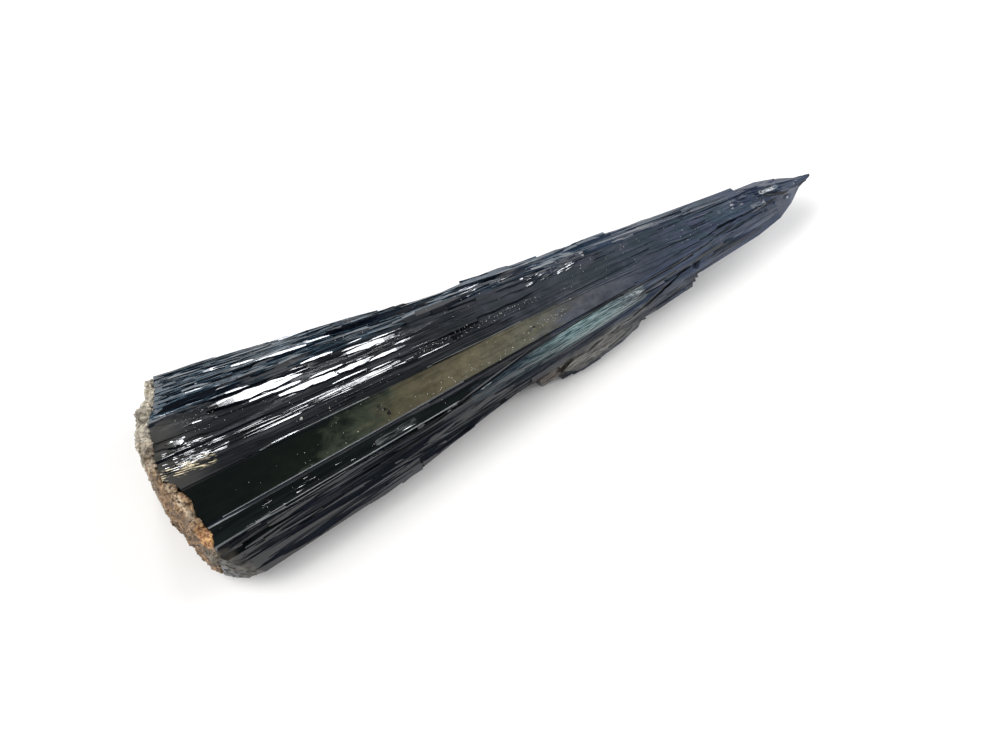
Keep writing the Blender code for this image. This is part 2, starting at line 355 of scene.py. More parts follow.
def worked(mesh, fields, outlines, dice, scar=False):
    """The blade's mesh with each field's laths joined on, or with its scars cut out."""
    tree = surface_of(mesh)
    shapes = []
    for field in fields:
        for _ in range(field.count):
            start, way = ray_to(field.side, dice.uniform(*field.lines), dice.uniform(*field.x))
            point, normal, _, _ = tree.ray_cast(start, way)
            size = dice.uniform(*field.length), dice.uniform(*field.width), dice.uniform(*field.height)
            turns = dice.uniform(*field.roll), dice.uniform(*field.yaw), dice.uniform(*field.pitch)
            outline = jittered(dice.choice(field.outlines or outlines), dice)
            lean = dice.uniform(*field.lean) if field.lean else 0.0
            if point is None:
                continue
            if field.lean:
                normal = leaning(lean, APEX - point)
            rings = splinter(point, normal, size, turns, outline, scar)
            corners = [corner for ring in rings for corner in ring]
            tilt = (size[1] * abs(turns[0]) + size[0] * abs(turns[2])) * math.radians(0.5)
            fits = inside_box(corners) and lies_on(tree, rings, size[2] + tilt + HANGING)
            if field.side in SPARE:
                fits = fits and over_blade(tree, rings, SPARE[field.side])
            if scar or fits:
                shapes.append(ring_mesh(rings))
    print(len(shapes), "scars" if scar else "laths")
    return combined(mesh, "DIFFERENCE" if scar else "UNION", shapes)


TAPERED = (LENS, LENS, RAGGED)
BROAD = (LENS, LENS, STEPPED)
PLATES = (
    # The back flank: broad laths, its rim, steep ones, and short ones by the root.
    Field("top", (4.5, 14.0), (-45, 8), 260, (6, 18), (0.5, 1.9), (0.04, 0.24), (-12, 8), (-4, 4),
        (-1.2, 1.2)),
    Field("top", (10.0, 14.6), (-45, -8), 80, (4, 10), (0.3, 1.1), (0.03, 0.14), (-14, 6), (-5, 2),
        (-1.2, 1.2)),
    Field("top", (4.0, 14.0), (-44, 0), 50, (4, 12), (0.25, 0.8), (0.05, 0.2), (-20, -12), (-4, 3), (-1, 1)),
    Field("top", (4.5, 14.0), (-46, -41), 70, (1.2, 4), (0.3, 1.0), (0.03, 0.16), (-14, 8), (-8, 8), (-2, 2)),
    Field("top", (8.0, 14.4), (-44, -37), 110, (1.5, 5), (0.2, 0.8), (0.03, 0.14), (-16, 4), (-6, 2),
        (-2, 2)),
    Field("top", (2.5, 13.5), (4, 24), 90, (5, 14), (0.5, 1.5), (0.02, 0.10), (-7, 5), (-3, 3), (-1, 1),
        outlines=TAPERED),
    # The shoulder, the crest and the front's upper edge.
    Field("top", (-1.0, 5.0), (-45, 10), 60, (8, 24), (0.4, 1.4), (0.02, 0.08), (0, 7), (-1.5, 1.5),
        outlines=TAPERED),
    Field("top", (-5.0, -1.0), (-45, 15), 80, (8, 26), (0.3, 0.9), (0.03, 0.10), (-8, 6), outlines=TAPERED),
    Field("top", (-13.2, -10.6), (-43, 6), 50, (8, 26), (0.4, 1.2), (0.02, 0.06), (-4, 4), outlines=TAPERED),
    # The front flank: its lower and its upper half, the worn corner and the chip.
    Field("front", (1.0, 5.0), (-41, 20), 60, (12, 34), (0.5, 1.6), (0.01, 0.04), (-14, -3),
        outlines=TAPERED),
    Field("front", (4.0, 9.6), (-41, 12), 110, (12, 30), (0.6, 1.6), (0.02, 0.07), (-22, -15),
        outlines=TAPERED),
    Field("front", (-3.0, 8.0), (-45, -40.5), 160, (0.3, 1.2), (0.2, 0.6), (0.02, 0.08), (-22, 22), (-60, 60),
        (-8, 8), outlines=TAPERED),
    Field("front", (-2.0, 4.5), (0, 15), 40, (3, 9), (0.3, 0.9), (0.03, 0.12), (-8, 8), (-4, 2), (-1, 1),
        outlines=TAPERED),
    # The underside, the back's lower edge and the point.
    Field("under", (-12.0, 12.0), (-43, 26), 300, (8, 28), (0.6, 2.2), (0.03, 0.18)),
    Field("back", (1.0, 8.0), (-43, 26), 120, (6, 22), (0.5, 1.6), (0.02, 0.16)),
    Field("top", (-14, 14), (18, 44), 90, (5, 14), (0.4, 1.3), (0.01, 0.04), (-5, 5), (-3, 3),
        outlines=TAPERED),
)
# The back flank, the front flank, the underside and the point.
SCARS = (
    Field("top", (4.5, 13.5), (-45, 22), 90, (4, 16), (0.3, 1.3), (0.05, 0.3), (-12, 12), (-3, 3),
        (-1.5, 1.5)),
    Field("front", (1.0, 9.0), (-43, 20), 30, (8, 26), (0.2, 0.6), (0.03, 0.10), (-10, 6)),
    Field("under", (-12.0, 12.0), (-43, 26), 70, (5, 20), (0.3, 1.2), (0.05, 0.25), (-12, 12)),
    Field("top", (-9, 9), (34, 45), 50, (0.8, 3.0), (0.2, 0.7), (0.05, 0.22), (-14, 14), (-14, 14), (-6, 6)),
)
NEEDLES = (
    # The top, from the back flank to the front's upper edge.
    Field("top", (4.5, 14.6), (-46, 24), 220, (3, 12), (0.10, 0.5), (0.02, 0.09), (-9, 9), (-3, 3),
        (-0.8, 0.8)),
    Field("top", (-1.0, 5.5), (-45, 14), 60, (4, 20), (0.08, 0.3), (0.01, 0.03), (-1, 6)),
    Field("top", (-5.0, -1.0), (-45, 20), 160, (4, 18), (0.08, 0.35), (0.02, 0.07), (-9, 6)),
    Field("top", (-10.6, -5.0), (-43, 20), 16, (6, 24), (0.08, 0.25), (0.008, 0.02), (-3, 3)),
    Field("top", (-13.2, -10.6), (-43, 6), 80, (5, 22), (0.08, 0.35), (0.01, 0.04), (-6, 6)),
    # The front flank and the chip.
    Field("front", (1.0, 5.0), (-43, 24), 170, (6, 24), (0.08, 0.35), (0.010, 0.030), (-14, -2)),
    Field("front", (4.0, 9.5), (-43, 24), 260, (6, 24), (0.08, 0.35), (0.010, 0.030), (-23, -13)),
    Field("front", (-3.0, 6.0), (-2, 24), 140, (4, 14), (0.08, 0.4), (0.015, 0.06), (-16, 8), (-3.5, 1.0)),
    # The underside, the back's lower edge and the point.
    Field("under", (-12.0, 12.0), (-43, 30), 320, (6, 22), (0.12, 0.6), (0.02, 0.08)),
    Field("back", (1.0, 8.0), (-43, 30), 160, (5, 18), (0.12, 0.5), (0.02, 0.08)),
    Field("top", (-14, 14), (22, 46), 220, (2, 8), (0.08, 0.35), (0.008, 0.03), (-6, 6), (-5, 5)),
)
# Fine laths whose faces lean alike, so that they glint together.
GLINTS = (
    Field("top", (5.5, 14.4), (-43, -12), 240, (3, 9), (0.08, 0.35), (0.03, 0.09), (0, 0), (-4, 3), (-3, 1),
        lean=(21.5, 42)),
    Field("top", (0.5, 10.5), (-40, -12), 18, (2, 7), (0.08, 0.26), (0.03, 0.08), (0, 0), (-3, 3), (-3, 0),
        lean=(18, 22)),
    Field("top", (-2.6, -0.6), (-38, -10), 30, (3, 11), (0.06, 0.18), (0.03, 0.05), (0, 0), (-1.5, 1.5),
        (-2, 1), lean=(18, 22)),
    Field("top", (-2.6, 0.2), (-46, -37), 90, (1.2, 5), (0.06, 0.16), (0.03, 0.07), (0, 0), (-3, 3), (-5, -2),
        lean=(17.5, 22)),
    Field("top", (6.5, 9.2), (-4, 3), 14, (1.2, 4), (0.08, 0.24), (0.03, 0.07), (0, 0), (-3, 3), (3, 8),
        lean=(18, 22)),
    Field("top", (2.2, 4.6), (4, 11), 26, (0.8, 3.0), (0.12, 0.36), (0.03, 0.08), (0, 0), (-3, 3), (7, 11),
        lean=(18, 22)),
    Field("top", (-12.5, -10.8), (-42, -16), 20, (0.6, 2.5), (0.05, 0.12), (0.02, 0.04), (0, 0), (-4, 4),
        (-2, 2), lean=(17, 22)),
)


class Shard(NamedTuple):
    """A single lath with its own place, most of them mirrors, given by how its face leans."""

    x: tuple  # from and to
    line: float
    width: float
    roll: float  # degrees that its face leans to the back
    yaw: float = 0.0
    proud: float = 0.12


SHARDS = [Shard(*row) for row in (
    ((-38.0, -25.8), 3.45, 1.6, 20.0, -0.8),
    ((-38.2, -27.0), 5.2, 0.5, 20.5, -1.5),
    ((-30.8, -21.2), 1.4, 1.55, 20.0),
    ((-22.6, -17.2), 0.75, 0.85, 19.5, 1.0),
    ((-21.0, -12.6), 3.85, 1.35, 20.0, 0.6),
    ((-19.0, -12.4), 0.5, 0.55, 20.0),
    ((-14.8, -10.8), 1.65, 0.4, 20.0),
    ((-34.5, -28.5), 2.2, 0.35, 20.0),
    ((-26.0, -20.5), 5.0, 0.45, 20.5, -1.0),
    ((-30.0, -22.5), 8.7, 0.45, 21.0, -3.0),
    ((-25.0, -19.5), 9.6, 0.28, 21.0, -2.5),
    ((-37.8, -31.0), 11.2, 0.50, 21.0, -3.5),
    ((-34.0, -29.0), 10.0, 0.35, 21.0, -3.5),
    ((-41.0, -36.0), 7.6, 0.40, 21.0, -3.0),
    ((-43.6, -41.0), 0.7, 1.1, 20.0, 1.0),
    ((-27.5, -14.5), -1.9, 0.30, 19.5),
    ((-24.0, -15.0), -2.3, 0.20, 19.5),
    ((-35.4, -27.0), -2.65, 0.28, 19.5),
    ((-36.0, -30.0), -2.1, 0.20, 19.5),
    ((-34.5, -28.6), -4.9, 0.20, 19.0),
    ((-19.0, -14.4), -1.1, 0.30, 19.5),
    ((-24.0, -18.0), -0.6, 0.24, 19.5),
    ((-9.0, 4.0), -0.4, 0.9, 9.0),
    ((-7.0, 5.5), 0.7, 1.1, 12.0, 0.5),
    ((-8.5, 3.0), 1.8, 0.8, 11.0),
    ((-6.0, 7.0), 2.9, 1.0, 13.0, 0.6),
    ((-9.0, 2.5), 3.8, 0.7, 12.0),
    ((-6.5, 6.0), 4.7, 0.9, 14.0, 1.0),
)]


# A wide shard is a main splinter and three beside it: (shift along, shift across, length, width), as shares.
SPLINTERS = ((0, 0, 1, 1), (-0.24, 0.42, 0.55, 0.34), (0.27, -0.38, 0.5, 0.36), (0.30, 0.34, 0.6, 0.26))
WIDE_SHARD = 0.7
SHARD_SPREAD = 2.0  # degrees that two splinters lean apart, if they lie a shard's length apart


class Rim(NamedTuple):
    """A thin ridge along a growth line, with a painted highlight along its top that shows as a pale hairline.
    """

    x: tuple
    line: float
    width: float = 0.13
    pale: float = 0.24  # the colour of its painted highlight


RIM_HEIGHT = 0.06
# the tint of the rims' painted highlight
RIM_HIGHLIGHT_TINT = (1.0, 1.04, 1.04)
RIMS = (
    Rim((-43.0, -14.0), -10.35, 0.17, 0.30),
    Rim((-41.0, -9.0), -10.05, 0.10),
    Rim((-43.4, -34.5), -12.75, 0.34, 0.17),
    Rim((-38.0, -6.0), -12.5),
    Rim((-35.0, -12.0), -12.85, 0.10),
    Rim((-34.0, -20.0), -4.95, 0.10),
    Rim((-12.0, 1.0), -4.9, 0.08, 0.16),
)


class Groove(NamedTuple):
    """A straight furrow between two laths, from one place near the surface to another."""

    start: tuple
    end: tuple
    width: float
    depth: float


GROOVES = [Groove(*row) for row in (
    ((-11.5, -8.25, 8.1), (3.2, -5.35, 8.0), 0.50, 0.40),
    ((0.5, -6.0, 7.95), (14.2, -4.3, 7.35), 0.26, 0.30),
    ((13.0, -4.5, 7.4), (25.5, -3.35, 6.8), 0.30, 0.30),
    ((22.0, -3.8, 6.95), (33.0, -1.8, 6.45), 0.22, 0.22),
    ((8.0, -7.25, 2.9), (16.2, -6.05, 4.7), 0.28, 0.25),
    ((14.6, -6.2, 4.4), (24.0, -4.2, 5.75), 0.34, 0.30),
    ((11.0, -7.55, 1.95), (23.5, -5.15, 3.45), 0.22, 0.20),
    ((15.0, -5.35, 6.5), (22.5, -4.2, 6.3), 0.25, 0.22),
    ((2.5, -7.75, 5.85), (12.5, -6.3, 5.9), 0.20, 0.15),
    ((39.4, 0.40, 5.7), (42.3, -0.45, 5.35), 0.40, 0.22),
    ((36.2, -1.2, 5.7), (40.4, -0.6, 5.5), 0.26, 0.14),
    ((27.5, -3.9, 5.0), (34.5, -2.9, 4.6), 0.22, 0.14),
    ((33.0, -2.6, 5.1), (38.6, -1.9, 4.9), 0.20, 0.12),
    ((29.0, -2.9, 5.9), (36.0, -1.8, 5.6), 0.16, 0.10),
)]
# A groove's stations, (share of its length, of its width, of its depth).
FURROW = ((0.0, 0.2, 0.1), (0.25, 1.0, 0.9), (0.6, 0.9, 1.0), (1.0, 0.15, 0.1))
FURROW_LEAN = -30.0
FURROW_TOP = 1.0  # how far out of the surface its cutter reaches
FURROW_FLARE = (2.2, 0.4)  # how wide its cutter is at the top and at the bottom, as shares of its width

# Pits in the broad facet and at the point: (x, y, z, length, width, degrees off the growth line).
PITS = (
    (-19.5, -5.0, 10.0, 1.3, 0.5, 28.0),
    (-19.0, -5.6, 9.9, 1.0, 0.35, -40.0),
    (-18.8, -6.2, 9.85, 0.9, 0.5, 62.0),
    (1.6, -3.9, 8.55, 0.9, 0.3, 50.0),
    (2.2, -3.7, 8.5, 0.6, 0.25, -30.0),
    (32.4, 0.7, 6.15, 1.0, 0.8, 62.0),
    (25.7, -4.1, 5.45, 1.6, 1.0, 10.0),
    (39.3, 1.05, 5.7, 0.9, 0.34, -14.0),
    (40.2, 0.90, 5.6, 0.8, 0.28, 22.0),
    (41.1, 1.00, 5.5, 1.0, 0.34, -10.0),
    (38.4, 0.20, 5.8, 0.8, 0.30, 40.0),
    (36.9, 2.10, 5.8, 0.7, 0.30, -35.0),
)
PIT_DEPTH = 0.22
# Cuts that thin the blunt ends of the broad laths on the front's lower edge, in the same terms.
TRIMS = (
    (4.3, -8.45, 1.45, 6.0, 1.6, -20.0),
    (4.2, -7.6, 2.6, 5.0, 0.5, 14.0),
    (25.9, -5.3, 2.6, 5.0, 1.3, 18.0),
    (17.1, -6.8, 2.0, 5.0, 1.1, 16.0),
)
TRIM_DEPTH = 0.9

# The clear lath, which swells to a rounded end.
CLEAR_ROOT = Vector((-8.2, -8.2, 8.02))
CLEAR_TIP = Vector((17.2, -4.72, 6.60))
CLEAR_LEAN = -40.0
CLEAR_HALF_WIDTHS = (  # (share of its length, half its width)
    (0.0, 0.06), (0.12, 0.28), (0.25, 0.46), (0.4, 0.68), (0.55, 0.92), (0.68, 1.10), (0.78, 1.16),
    (0.86, 1.08), (0.92, 0.88), (0.96, 0.62), (0.985, 0.34), (1.0, 0.08),
)
CLEAR_CROWN = 0.42  # its height over its widest section
CLEAR_ACROSS = 8  # faces across its crown
CLEAR_BURIED = 1.2  # how deep it reaches into the crystal


def with_shards(mesh):
    """The crystal with its shards and its rims joined on."""
    tree = surface_of(mesh)
    shapes = []
    for shard in SHARDS:
        length = shard.x[1] - shard.x[0]
        for along, across, share, thinness in SPLINTERS if shard.width > WIDE_SHARD else SPLINTERS[:1]:
            x = sum(shard.x) / 2 + along * length
            line = shard.line + across * shard.width * FAN_LENGTH / (APEX.x - x)
            point, _, _, _ = tree.ray_cast(*ray_to("top", line, x))
            size = length * share, shard.width * thinness, shard.proud * share
            normal = leaning(shard.roll + SHARD_SPREAD * along, APEX - point)
            shapes.append(ring_mesh(splinter(point, normal, size, (0.0, shard.yaw, 0.0), RAGGED)))
    for rim in RIMS:
        point, normal, _, _ = tree.ray_cast(*ray_to("top", rim.line, sum(rim.x) / 2))
        size = rim.x[1] - rim.x[0], rim.width, RIM_HEIGHT
        shapes.append(ring_mesh(splinter(point, normal, size, (0.0, 0.0, 0.0), RIDGE)))
    return combined(mesh, "UNION", shapes)


def furrowed(mesh):
    """The crystal with its grooves, its pits and its trims cut."""
    tree = surface_of(mesh)
    shapes = []
    for groove in GROOVES:
        start, end = (tree.find_nearest(Vector(place))[0] for place in (groove.start, groove.end))
        along = (end - start).normalized()
        normal = leaning(FURROW_LEAN, along)
        rings = []
        for share, narrowing, sink in FURROW:
            place = start.lerp(end, share)
            half = along.cross(normal) * groove.width * narrowing / 2
            upper, lower = (half * flare for flare in FURROW_FLARE)
            top, bottom = place + normal * FURROW_TOP, place - normal * groove.depth * sink
            rings.append((top - upper, top + upper, bottom + lower, bottom - lower))
        shapes.append(ring_mesh(rings))
    cuts = [(*pit, PIT_DEPTH) for pit in PITS] + [(*trim, TRIM_DEPTH) for trim in TRIMS]
    for x, y, z, length, width, yaw, depth in cuts:
        point, normal, _, _ = tree.find_nearest(Vector((x, y, z)))
        size = length, width, depth
        shapes.append(ring_mesh(splinter(point, normal, size, (0.0, yaw, 0.0), NEEDLE, scar=True)))
    return combined(mesh, "DIFFERENCE", shapes)


def clear_mesh():
    """The clear lath: a crowned spindle with a rounded end."""
    along = (CLEAR_TIP - CLEAR_ROOT).normalized()
    up = leaning(CLEAR_LEAN, along)
    across = along.cross(up)
    widest = max(half for _, half in CLEAR_HALF_WIDTHS)
    rings = []
    for share, half in CLEAR_HALF_WIDTHS:
        middle = CLEAR_ROOT.lerp(CLEAR_TIP, share)
        crown = CLEAR_CROWN * math.sqrt(half / widest)
        ring = []
        for i in range(CLEAR_ACROSS + 1):
            u = 2 * i / CLEAR_ACROSS - 1
            ring.append(middle + across * half * u + up * crown * (1 - u * u))
        ring += [middle + across * half - up * CLEAR_BURIED, middle - across * half - up * CLEAR_BURIED]
        rings.append(ring)
    return ring_mesh(rings)


def build_crystal():
    dice = random.Random(CRYSTAL_SEED)
    mesh = worked(node_mesh(BLADE_NODE), PLATES, BROAD, dice)
    mesh = worked(mesh, SCARS, (NEEDLE,), dice, scar=True)
    mesh = worked(mesh, NEEDLES, (NEEDLE,), dice)
    mesh = with_shards(mesh)
    mesh = worked(mesh, GLINTS, (NEEDLE, LENS), dice)
    mesh = combined(mesh, "UNION", [clear_mesh()])
    mesh = main_skin(furrowed(mesh))
    return new_object("vivianite_crystal", mesh)


# Materials

# Stretches of the surface that have a colour of their own or a painted highlight, as lines between two
# places.
CLEAR_LINE = ((-8.0, -8.2, 8.0), (16.6, -4.9, 6.75))
CHIP_LINE = ((1.5, -8.0, 3.2), (22.0, -5.4, 3.6))
CHIP_END = ((-0.2, -7.6, 3.6), (3.6, -8.5, 1.6))
# painted highlight: the gold glints by the root
GOLD_GLINT_LINE = ((-45.0, -2.0, 12.1), (-39.5, -2.35, 11.7))
PALE_LINE = ((-21.5, -8.75, 9.35), (-16.6, -8.15, 9.05))
# painted highlight: the glints on the chipped point
TIP_CHIP = ((39.2, 1.0, 5.7), (41.5, 0.95, 5.5))
WORN_LINE = ((-43.2, -12.4, 8.2), (-41.0, -14.2, 3.6))
RUST_LINE = ((-43.9, -9.9, 10.7), (-43.4, -10.9, 10.6))
SEAM_LINES = (((-44.9, -3.5, 11.9), (-44.3, -7.4, 11.5)), ((-44.3, -7.4, 11.5), (-43.4, -11.6, 9.6)))

# The broad facet's colour from the root to the point: (share of the blade's length, colour). Its blue-grey
# end is partly own colour and partly a painted reflection.
BROAD_FACET = (
    (0.05, (0.0012, 0.0022, 0.0010)),
    (0.19, (0.0030, 0.0050, 0.0025)),
    (0.25, (0.031, 0.037, 0.024)),
    (0.32, (0.070, 0.061, 0.036)),
    (0.40, (0.092, 0.080, 0.049)),
    (0.50, (0.082, 0.079, 0.058)),
    (0.58, (0.066, 0.070, 0.081)),
    (0.72, (0.044, 0.049, 0.064)),
    (1.0, (0.026, 0.034, 0.054)),
)


class Nodes:
    """Builds a material's nodes a line at a time. Any number may stand where a socket is asked for."""

    def __init__(self, name):
        self.material = bpy.data.materials.new(name)
        self.material.use_nodes = True
        self.tree = self.material.node_tree
        self.shader = self.tree.nodes["Principled BSDF"]
        # The object's own coordinates, in millimetres.
        coordinates = self.node("TexCoord", {}).outputs["Object"]
        self.x, self.y, self.z = [self.product(axis, 1 / MM) for axis in self.parts(coordinates)]
        self.point = self.vector(self.x, self.y, self.z)

    def put(self, socket, value):
        """Links a socket to this one, or sets this one to a number, a vector or a colour."""
        if isinstance(value, bpy.types.NodeSocket):
            self.tree.links.new(value, socket)
        elif hasattr(value, "__len__") and len(value) == 3 and len(socket.default_value) == 4:
            socket.default_value = (*value, 1.0)
        else:
            socket.default_value = value

    def node(self, kind, inputs, **settings):
        """A node of this kind, with these of its inputs given, by name or by number."""
        node = self.tree.nodes.new("ShaderNode" + kind)
        for name, value in settings.items():
            setattr(node, name, value)
        for key, value in inputs.items():
            self.put(node.inputs[key], value)
        return node

    def math(self, operation, *values, clamp=False):
        return self.node("Math", dict(enumerate(values)), operation=operation, use_clamp=clamp).outputs[0]

    def product(self, a, b):
        return self.math("MULTIPLY", a, b)

    def between(self, value, low, high, to_low=0.0, to_high=1.0, smooth=True):
        """value's place from low to high, as a number from to_low to to_high, held at both ends."""
        inputs = {"Value": value, "From Min": low, "From Max": high, "To Min": to_low, "To Max": to_high}
        easing = "SMOOTHSTEP" if smooth else "LINEAR"
        return self.node("MapRange", inputs, interpolation_type=easing).outputs["Result"]

    def mix(self, share, a, b):
        """The colour that lies this share of the way from a to b."""
        return self.node("Mix", {"Factor": share, 6: a, 7: b}, data_type="RGBA").outputs[2]

    def blend(self, share, a, b):
        """The number that lies this share of the way from a to b."""
        return self.between(share, 0.0, 1.0, a, b, smooth=False)

    def ramp(self, value, stops):
        """The colour at value, of colours that each have a place."""
        node = self.node("ValToRGB", {0: value})
        fill_ramp(node.color_ramp, stops)
        return node.outputs[0]

    def vector(self, x, y, z):
        return self.node("CombineXYZ", {0: x, 1: y, 2: z}).outputs[0]

    def parts(self, vector):
        """A vector's three numbers."""
        return list(self.node("SeparateXYZ", {0: vector}).outputs)

    def vector_math(self, operation, *values):
        output = "Value" if operation in ("DOT_PRODUCT", "LENGTH") else "Vector"
        return self.node("VectorMath", dict(enumerate(values)), operation=operation).outputs[output]

    def scaled(self, colour, factor):
        return self.node("VectorMath", {0: colour, "Scale": factor}, operation="SCALE").outputs[0]

    def noise(self, vector, scale, detail=3.0, roughness=0.5, distortion=0.0):
        inputs = {"Vector": vector, "Scale": scale, "Detail": detail, "Roughness": roughness}
        return self.node("TexNoise", inputs | {"Distortion": distortion}).outputs[0]

    def cells(self, vector, scale):
        """A random number for each of many cells."""
        colour = self.node("TexVoronoi", {"Vector": vector, "Scale": scale}).outputs["Color"]
        return self.node("SeparateColor", {0: colour}).outputs[0]

    def from_line(self, point, ends):
        """How far the point is from the stretch between two ends, in millimetres."""
        start, way = Vector(ends[0]), Vector(ends[1]) - Vector(ends[0])
        offset = self.vector_math("SUBTRACT", point, tuple(start))
        share = self.vector_math("DOT_PRODUCT", offset, tuple(way / way.length_squared))
        share = self.math("ADD", share, 0.0, clamp=True)
        nearest = self.vector_math("MULTIPLY", self.vector(share, share, share), tuple(way))
        return self.vector_math("LENGTH", self.vector_math("SUBTRACT", offset, nearest))

    def near(self, ends, outer, inner):
        """1 within inner of the stretch between two ends, and 0 beyond outer."""
        return self.between(self.from_line(self.point, ends), outer, inner)

    def bump(self, height, distance, strength, normal=None):
        inputs = {"Height": height, "Distance": distance * MM, "Strength": strength}
        return self.node("Bump", inputs if normal is None else inputs | {"Normal": normal}).outputs[0]

    def finish(self, **inputs):
        """The material, with these inputs of its shader given."""
        for name, value in inputs.items():
            self.put(self.shader.inputs[name.replace("_", " ")], value)
        return self.material


class CrystalNodes(Nodes):
    """The crystal's nodes, with the places and the patterns that its colours share."""

    def __init__(self):
        super().__init__("vivianite")
        _, self.ny, self.nz = self.parts(self.node("NewGeometry", {}).outputs["True Normal"])
        narrowing = self.math("DIVIDE", FAN_LENGTH, self.math("SUBTRACT", APEX.x, self.x))
        self.fan_y = self.product(self.math("SUBTRACT", self.y, APEX.y), narrowing)
        self.fan_z = self.product(self.math("SUBTRACT", self.z, APEX.z), narrowing)

        fan = self.fan_y, self.fan_z
        self.streaks = self.noise(self.drawn_out(0.05, *fan), 1.6, 5.0, 0.6)
        self.hairs = self.noise(self.drawn_out(0.08, *fan), 6.0, 3.0, 0.65)
        self.lines = self.noise(self.drawn_out(0.025, *fan), 7.0, 2.0, 0.6)
        self.cloud = self.noise(self.point, 0.16, 4.0, 0.55)
        self.blotch = self.noise(self.drawn_out(0.5, self.y, self.z), 0.55, 5.0, 0.65, 0.6)
        self.stains = self.noise(self.drawn_out(0.6, self.y, self.z), 0.8, 8.0, 0.75, 0.3)
        self.streaked = self.between(self.streaks, 0.42, 0.68)
        self.haired = self.between(self.hairs, 0.40, 0.66)
        self.blotched = self.between(self.blotch, 0.42, 0.60)

    def drawn_out(self, squash, y, z):
        """Coordinates that draw a pattern out along x, or along the growth lines if y and z are the fan's."""
        return self.vector(self.product(self.x, squash), y, z)


def broad_facet(n):
    """Near black by the root, then olive with brown stains, then blue-grey that is partly own colour and
    partly a painted reflection.
    """
    along = n.between(n.x, -45, 47, smooth=False)
    wander = n.product(n.math("SUBTRACT", n.blotch, 0.5), 0.22)
    slant = n.product(n.math("ADD", n.fan_y, 7.6), 0.012)
    colour = n.ramp(n.math("SUBTRACT", n.math("ADD", along, wander), slant), BROAD_FACET)
    colour = n.scaled(colour, n.between(n.stains, 0.35, 0.65, 0.72, 1.25))
    browned = n.product(n.between(n.stains, 0.56, 0.70, 0.0, 0.35), n.between(n.x, -30, -14))
    return n.mix(browned, colour, (0.060, 0.040, 0.018))


def crest(n):
    """Charcoal, greyer at the root, and mottled towards the point."""
    colour = n.mix(n.streaked, (0.010, 0.011, 0.012), (0.034, 0.036, 0.040))
    colour = n.mix(n.between(n.x, -38, -44), colour, (0.042, 0.040, 0.037))
    far = n.mix(n.blotched, (0.030, 0.037, 0.042), (0.056, 0.058, 0.072))
    far = n.mix(n.between(n.streaks, 0.42, 0.68, 0.0, 0.4), far, (0.022, 0.026, 0.034))
    return n.mix(n.between(n.x, -12, 12), colour, far)


def back_flank(n):
    """Blue, and more violet towards the point."""
    colour = n.mix(n.haired, (0.007, 0.016, 0.026), (0.050, 0.092, 0.128))
    far = n.mix(n.streaked, (0.012, 0.027, 0.044), (0.036, 0.064, 0.104))
    return n.mix(n.between(n.x, -22, 4), colour, far)


def front_flank(n):
    """Near black, and slate blue towards the point."""
    colour = n.mix(n.streaked, (0.0008, 0.0014, 0.004), (0.007, 0.010, 0.018))
    far = n.mix(n.streaked, (0.016, 0.026, 0.050), (0.060, 0.082, 0.130))
    return n.mix(n.between(n.x, -4, 24), colour, far)


def point_colour(n):
    """Mottled teal-grey and violet, with dark and pale streaks."""
    colour = n.mix(n.blotched, (0.033, 0.056, 0.072), (0.052, 0.060, 0.102))
    colour = n.mix(n.between(n.ny, -0.25, -0.5, 0.0, 0.6), colour, (0.050, 0.070, 0.125))
    colour = n.mix(n.between(n.streaks, 0.42, 0.60, 0.0, 0.85), colour, (0.010, 0.016, 0.030))
    return n.mix(n.between(n.lines, 0.56, 0.64, 0.0, 0.5), colour, (0.13, 0.16, 0.24))


def facets(n, front):
    """Each facet's own colour, from the back flank over the top to the front, and then the point's."""
    strip = n.mix(n.streaked, (0.0008, 0.0016, 0.0012), (0.005, 0.008, 0.007))
    colour = n.mix(n.between(n.fan_y, 4.5, 6.0), crest(n), back_flank(n))
    colour = n.mix(n.between(n.fan_y, -4.8, -5.3), colour, broad_facet(n))
    colour = n.mix(n.between(n.fan_y, -9.85, -10.15), colour, strip)
    colour = n.mix(n.between(n.ny, -0.25, -0.5), colour, front)
    colour = n.mix(n.between(n.x, 12, 34), colour, point_colour(n))
    under_edge = n.product(n.between(n.ny, -0.62, -0.8), n.between(n.x, 18, 28))
    colour = n.mix(under_edge, colour, (0.004, 0.006, 0.012))
    end = n.mix(n.streaked, (0.010, 0.016, 0.036), (0.038, 0.056, 0.108))
    return n.mix(n.between(n.x, 31, 40, 0.0, 0.7), colour, end)


def clear_lath(n):
    """Blue-green in its middle, dark at its root and misty at its tip, with long lines."""
    teal = n.mix(n.haired, (0.022, 0.053, 0.060), (0.28, 0.38, 0.38))
    misty = n.mix(n.haired, (0.033, 0.044, 0.053), (0.18, 0.20, 0.21))
    navy = n.mix(n.haired, (0.006, 0.010, 0.016), (0.050, 0.070, 0.080))
    colour = n.mix(n.between(n.x, -3, 7), navy, n.mix(n.between(n.x, 10, 16), teal, misty))
    lit = n.product(n.between(n.lines, 0.55, 0.64, 0.0, 0.7), n.between(n.x, 0, 8))
    colour = n.mix(lit, colour, (0.40, 0.48, 0.48))
    return n.mix(n.between(n.lines, 0.46, 0.38, 0.0, 0.7), colour, (0.010, 0.022, 0.027))


def with_chip(n, colour, front):
    """The chip on the front's lower edge: fibrous grey, brown at its blunt end."""
    grey = n.mix(n.haired, (0.085, 0.082, 0.076), (0.36, 0.345, 0.315))
    grey = n.mix(n.between(n.x, 3, 9), n.mix(n.haired, (0.040, 0.036, 0.030), (0.20, 0.18, 0.15)), grey)
    grey = n.mix(n.between(n.x, 9, 22, 0.0, 0.85), grey, front)
    colour = n.mix(n.near(CHIP_LINE, 2.4, 1.3), colour, grey)
    brown = n.mix(n.haired, (0.016, 0.010, 0.007), (0.14, 0.10, 0.07))
    return n.mix(n.near(CHIP_END, 1.4, 0.5), colour, brown)


